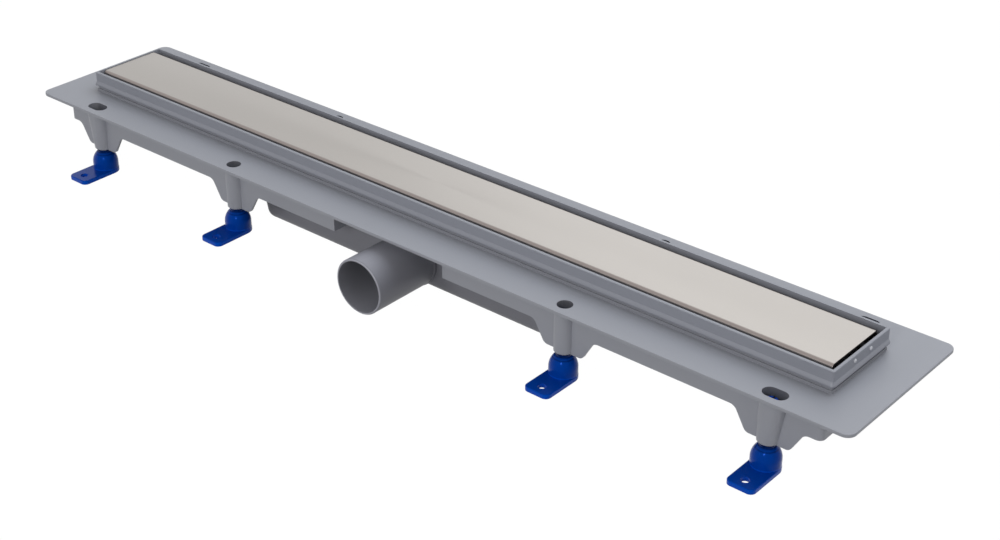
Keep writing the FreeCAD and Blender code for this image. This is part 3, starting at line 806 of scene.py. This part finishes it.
brushed_skin = make_brushed_skin()
_, cover_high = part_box("cover_plate")
cover_steel = dressed_material(
    "cover_steel", brushed_skin,
    {
        "Colour": cover_steel_colour, "Bend Top": cover_high.z,
        "Bend Depth": cover_bend_radius, "Bend Painted Reflection": cover_bend_painted_reflection,
        "Inner Half Width": cover_high.y - cover_skin_depth,
        "Inner Top": cover_high.z - cover_skin_depth, "Inner Shade": cover_inner_shade,
    },
)
tune(cover_steel, "Metallic", 1.0)
tune(cover_steel, "Anisotropic", cover_anisotropy)
cover = finished("cover_sheet", make_cover(), cover_steel)
edge_break = cover.modifiers.new("edge_break", "BEVEL")
edge_break.width = cover_edge_break
edge_break.segments = cover_edge_segments
edge_break.limit_method = "ANGLE"
edge_break.angle_limit = math.radians(cover_edge_angle)
edge_break.harden_normals = True
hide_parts("cover_plate")
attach(cover, "drain")


# Levelling spindles
# Blue plastic screws with a slot for the screwdriver. The ball at the foot of each one snaps
# in the dome of its foot, so that the foot can turn.

foot_blue = (0.0003, 0.0500, 0.3560, 1.0)
foot_sheen = (0.05, 0.20, 1.0, 1.0)
foot_specular = 0.27
foot_values = {
    "Colour": foot_blue, "Mottle": 0.10, "Mottle Scale": 40.0, "Roughness": 0.20,
    "Gloss Drift": 0.05, "Grain Depth": 0.000004,
}
feet_in_row = 4
ball_radius = 0.0058
ball_steps = 16
neck_radius = 0.0036
shank_bottom = 0.0224
shank_radius = 0.0050
thread_depth = 0.0006
thread_pitch = 0.0020
thread_start = 0.0008
thread_run_out = 0.0012
thread_sides = 4
thread_turn_steps = 24
head_height = 0.0034
head_chamfer = 0.0006
slot_width = 0.0018
slot_depth = 0.0025
spindle_sides = 40
spindle_sharp_angle = 40
straight_down = -90


def make_foot_plastic(name):
    """Glossy blue plastic with a blue sheen."""
    material = dressed_material(name, moulded_skin, foot_values)
    tune(material, "Specular IOR Level", foot_specular)
    tune(material, "Specular Tint", foot_sheen)
    return material


foot_plastic = make_foot_plastic("foot_plastic")


def spindle_outline(bottom, top):
    """Radius and height of the spindle's plain core, from the ball up to the slotted head."""
    root = shank_radius - thread_depth
    head = top - head_height
    middle = bottom + ball_radius
    outline = [(0.0, bottom)]
    neck = math.degrees(math.acos(neck_radius / ball_radius))
    for index in range(1, ball_steps + 1):
        angle = math.radians(straight_down + (neck - straight_down) * index / ball_steps)
        outline.append((ball_radius * math.cos(angle), middle + ball_radius * math.sin(angle)))
    outline += [
        (neck_radius, shank_bottom),
        (root, shank_bottom),
        (root, head - thread_depth),
        (shank_radius, head),
        (shank_radius, top - head_chamfer),
        (shank_radius - head_chamfer, top),
        (0.0, top),
    ]
    return outline


def turned(name, outline, x, y):
    """Mesh of a turned piece from its outline, on an upright axis."""
    builder = bmesh.new()
    rings = []
    for radius, height in outline:
        if radius == 0.0:
            rings.append([builder.verts.new((x, y, height))])
            continue
        ring = []
        for index in range(spindle_sides):
            angle = 2 * math.pi * index / spindle_sides
            side_x = x + radius * math.cos(angle)
            side_y = y + radius * math.sin(angle)
            ring.append(builder.verts.new((side_x, side_y, height)))
        rings.append(ring)
    for low, high in zip(rings[:-1], rings[1:]):
        for index in range(spindle_sides):
            after = (index + 1) % spindle_sides
            if len(low) == 1:
                builder.faces.new((low[0], high[after], high[index]))
            elif len(high) == 1:
                builder.faces.new((low[index], low[after], high[0]))
            else:
                builder.faces.new((low[index], low[after], high[after], high[index]))
    bmesh.ops.recalc_face_normals(builder, faces=builder.faces[:])
    mesh = bpy.data.meshes.new(name)
    builder.to_mesh(mesh)
    builder.free()
    return mesh


def make_thread_tree():
    """Cuts the slot in the head of the core and winds a V thread round its shank."""
    tree, start, end = new_shape_tree(
        "spindle_thread",
        [
            ("Radius", "NodeSocketFloat"),
            ("Depth", "NodeSocketFloat"),
            ("Pitch", "NodeSocketFloat"),
            ("Length", "NodeSocketFloat"),
            ("Foot", "NodeSocketVector"),
            ("Slot Size", "NodeSocketVector"),
            ("Slot Place", "NodeSocketVector"),
            ("Material", "NodeSocketMaterial"),
        ],
    )
    blade = tree.nodes.new("GeometryNodeMeshCube")
    link(tree, start.outputs["Slot Size"], blade.inputs["Size"])
    set_blade = tree.nodes.new("GeometryNodeTransform")
    link(tree, blade.outputs["Mesh"], set_blade.inputs["Geometry"])
    link(tree, start.outputs["Slot Place"], set_blade.inputs["Translation"])
    slotted = tree.nodes.new("GeometryNodeMeshBoolean")
    slotted.operation = "DIFFERENCE"
    link(tree, start.outputs["Core"], slotted.inputs["Mesh 1"])
    link(tree, set_blade.outputs["Geometry"], slotted.inputs["Mesh 2"])
    middle = math_node(tree, "SUBTRACT", start.outputs["Radius"], start.outputs["Depth"])
    turns = math_node(tree, "DIVIDE", start.outputs["Length"], start.outputs["Pitch"])
    helix = tree.nodes.new("GeometryNodeCurveSpiral")
    helix.inputs["Resolution"].default_value = thread_turn_steps
    link(tree, turns, helix.inputs["Rotations"])
    link(tree, middle, helix.inputs["Start Radius"])
    link(tree, middle, helix.inputs["End Radius"])
    link(tree, start.outputs["Length"], helix.inputs["Height"])
    upright = tree.nodes.new("GeometryNodeSetCurveNormal")
    upright.mode = "Z_UP"
    link(tree, helix.outputs["Curve"], upright.inputs["Curve"])
    ridge = swept(tree, upright.outputs["Curve"], start.outputs["Depth"], thread_sides)
    wound = tree.nodes.new("GeometryNodeTransform")
    link(tree, ridge, wound.inputs["Geometry"])
    link(tree, start.outputs["Foot"], wound.inputs["Translation"])
    both = tree.nodes.new("GeometryNodeJoinGeometry")
    link(tree, slotted.outputs["Mesh"], both.inputs["Geometry"])
    link(tree, wound.outputs["Geometry"], both.inputs["Geometry"])
    close_shape(tree, start, end, both.outputs["Geometry"])
    return tree


foot_places = []
for side in ("front", "rear"):
    for index in range(1, feet_in_row + 1):
        foot_places.append(side + "_" + str(index))
thread_tree = make_thread_tree()

# The block that cuts the slot is twice as long as the head is wide and twice as tall as the
# slot is deep. Its middle is at the head's top, so it runs out at the top and at both ends.
head_width = 2 * shank_radius
slot_block = (slot_width, 2 * head_width, 2 * slot_depth)
for place_name in foot_places:
    low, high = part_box("foot_spindle_" + place_name)
    x = (low.x + high.x) / 2
    y = (low.y + high.y) / 2
    thread_foot = shank_bottom + thread_start + thread_depth
    thread_top = high.z - head_height - thread_run_out
    spindle = grown(
        "spindle_" + place_name,
        turned("spindle_core", spindle_outline(low.z, high.z), x, y),
        thread_tree,
        {
            "Radius": shank_radius,
            "Depth": thread_depth,
            "Pitch": thread_pitch,
            "Length": thread_top - thread_foot,
            "Foot": (x, y, thread_foot),
            "Slot Size": slot_block,
            "Slot Place": (x, y, high.z),
            "Material": foot_plastic,
        },
        spindle_sharp_angle,
    )
    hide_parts("foot_spindle_" + place_name)
    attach(spindle, "spindle_" + place_name)


# Feet
# Blue plastic domes with a tongue that is screwed to the floor. The dome's mouth has a
# stepped collar that grips the ball of the spindle.

tongue_top = 0.0038
# Painted highlight: a band just under the tongue's top, tongue_edge deep, is made lighter.
tongue_edge = 0.0008
tongue_edge_light = 1.60
# Painted highlight: a light line round the dome's foot, just above the tongue.
crease_height = 0.0046
crease_half = 0.0007
crease_light = 1.60
# Painted shadow: the dome's crown under the spindle's boss is made darker towards the top.
crown_low = 0.0196
crown_high = 0.0212
crown_shade = 0.28
# Painted shade: a dark line round the dome stands for a groove's shade; no groove is modelled.
groove_height = 0.0189
groove_half = 0.0008
groove_shade = 0.42

base_plastic = make_foot_plastic("foot_base_plastic")
# Painted light and shade on the feet, by height: lighter tongue edges and crease, darker crown and
# groove line.
foot_slopes = [
    (tongue_top - tongue_edge, tongue_top, tongue_edge_light, 1.0),
    (crown_low, crown_high, 1.0, crown_shade),
]
foot_lines = [
    (groove_height, groove_half, groove_shade),
    (crease_height, crease_half, crease_light),
]
add_shade(base_plastic, make_height_shade("foot_painted_light_shade", foot_slopes, foot_lines), {})
for place_name in foot_places:
    dress("foot_base_" + place_name, base_plastic)


# Studio
# A pale floor that the camera sees as a faint veil with the drain's shadow on it, over a white
# world, so that a foot that is screwed down past the floor still shows. Soft lamps light it.

floor_size = 12.0
floor_clearness = 0.93
floor_loss = 0.075
floor_grey = (0.28, 0.28, 0.28, 1.0)
world_strength = 0.36
white = (1.0, 1.0, 1.0, 1.0)
neutral = (1.0, 1.0, 1.0)
cool = (0.90, 0.955, 1.0)
drain_middle = (0.0, 0.0, 0.05)
right_of_middle = (0.1, 0.0, 0.05)
right_half = (0.2, 0.0, 0.05)
front_lamp_place = (0.7, -1.75, 1.05)


def seen_mask(tree, rays):
    """One for what the camera sees, also in a reflection or through a clear piece."""
    seen = math_node(tree, "MAXIMUM", rays.outputs["Is Camera Ray"], rays.outputs["Is Glossy Ray"])
    return math_node(tree, "MAXIMUM", seen, rays.outputs["Is Transmission Ray"])


def close_mix(tree, share, first, second, output):
    """Mixes two shaders by a share and ends the tree with the mixture."""
    mix = tree.nodes.new("ShaderNodeMixShader")
    for index, source in enumerate((share, first, second)):
        link(tree, source, mix.inputs[index])
    link(tree, mix.outputs[0], output.inputs["Surface"])


def make_floor():
    """Square floor that lights the drain from below and hardly shows to the camera."""
    builder = bmesh.new()
    bmesh.ops.create_grid(builder, x_segments=1, y_segments=1, size=floor_size / 2)
    material = bpy.data.materials.new("floor_white")
    material.use_nodes = True
    tree = material.node_tree
    tree.nodes.clear()
    output = tree.nodes.new("ShaderNodeOutputMaterial")
    paper = tree.nodes.new("ShaderNodeBsdfDiffuse")
    paper.inputs["Color"].default_value = floor_grey
    clear = tree.nodes.new("ShaderNodeBsdfTransparent")
    clear.inputs["Color"].default_value = white
    rays = tree.nodes.new("ShaderNodeLightPath")
    share = math_node(tree, "MULTIPLY", seen_mask(tree, rays), floor_clearness)
    close_mix(tree, share, paper.outputs[0], clear.outputs[0], output)
    floor = finished("floor", builder, material)


def make_world():
    """World that the camera sees as white, and that lights the drain at a lower strength."""
    world = bpy.data.worlds.new("studio")
    bpy.context.scene.world = world
    world.use_nodes = True
    tree = world.node_tree
    tree.nodes.clear()
    output = tree.nodes.new("ShaderNodeOutputWorld")
    dim = tree.nodes.new("ShaderNodeBackground")
    dim.inputs["Color"].default_value = white
    dim.inputs["Strength"].default_value = world_strength
    bright = tree.nodes.new("ShaderNodeBackground")
    bright.inputs["Color"].default_value = white
    rays = tree.nodes.new("ShaderNodeLightPath")
    level = math_node(tree, "MULTIPLY_ADD", rays.outputs["Is Camera Ray"], floor_loss, 1.0)
    link(tree, level, bright.inputs["Strength"])
    close_mix(tree, seen_mask(tree, rays), dim.outputs[0], bright.outputs[0], output)


def make_lamp(name, place, target, size, power, tint=neutral, matt=True, gloss=False):
    """Square soft lamp that points at a spot on the drain, for matt light, for gloss or for both."""
    lamp = bpy.data.lights.new(name, "AREA")
    lamp.shape = "SQUARE"
    lamp.size = size
    lamp.energy = power
    lamp.color = tint
    holder = bpy.data.objects.new(name, lamp)
    bpy.context.scene.collection.objects.link(holder)
    holder.location = place
    aim = Vector(target) - Vector(place)
    holder.rotation_euler = aim.to_track_quat("-Z", "Y").to_euler()
    holder.visible_diffuse = matt
    holder.visible_glossy = gloss


make_floor()
make_world()
make_lamp("top_lamp", (0.4, 0.7, 1.9), right_of_middle, size=1.6, power=18.0, tint=cool)
make_lamp("back_lamp", (-0.6, 2.1, 1.5), drain_middle, size=2.0, power=7.0, gloss=True)
make_lamp("front_lamp", front_lamp_place, drain_middle, size=0.25, power=6.0)
make_lamp(
    "glint_lamp", front_lamp_place, drain_middle, size=0.15, power=12.0, matt=False, gloss=True
)
make_lamp("left_lamp", (-0.5, -2.1, 0.7), right_of_middle, size=0.7, power=7.6)
make_lamp("right_lamp", (2.2, -0.5, 0.45), right_half, size=0.7, power=3.6)


# Camera
# It stands where the photographer's did: to the right of the outlet side and above it.

camera_place = (0.89381, -0.98405, 0.75194)
camera_turn = (60.46982, -0.28598, 40.17004)
camera_lens = 63.20
camera_sensor_width = 36.0
camera_clip_start = 0.01

camera = bpy.data.cameras.new("camera")
camera.lens = camera_lens
camera.sensor_width = camera_sensor_width
camera.sensor_fit = "HORIZONTAL"
camera.clip_start = camera_clip_start
camera_holder = bpy.data.objects.new("camera", camera)
bpy.context.scene.collection.objects.link(camera_holder)
camera_holder.location = camera_place
camera_holder.rotation_euler = [math.radians(angle) for angle in camera_turn]
bpy.context.scene.camera = camera_holder
bpy.context.scene.view_settings.view_transform = "Standard"
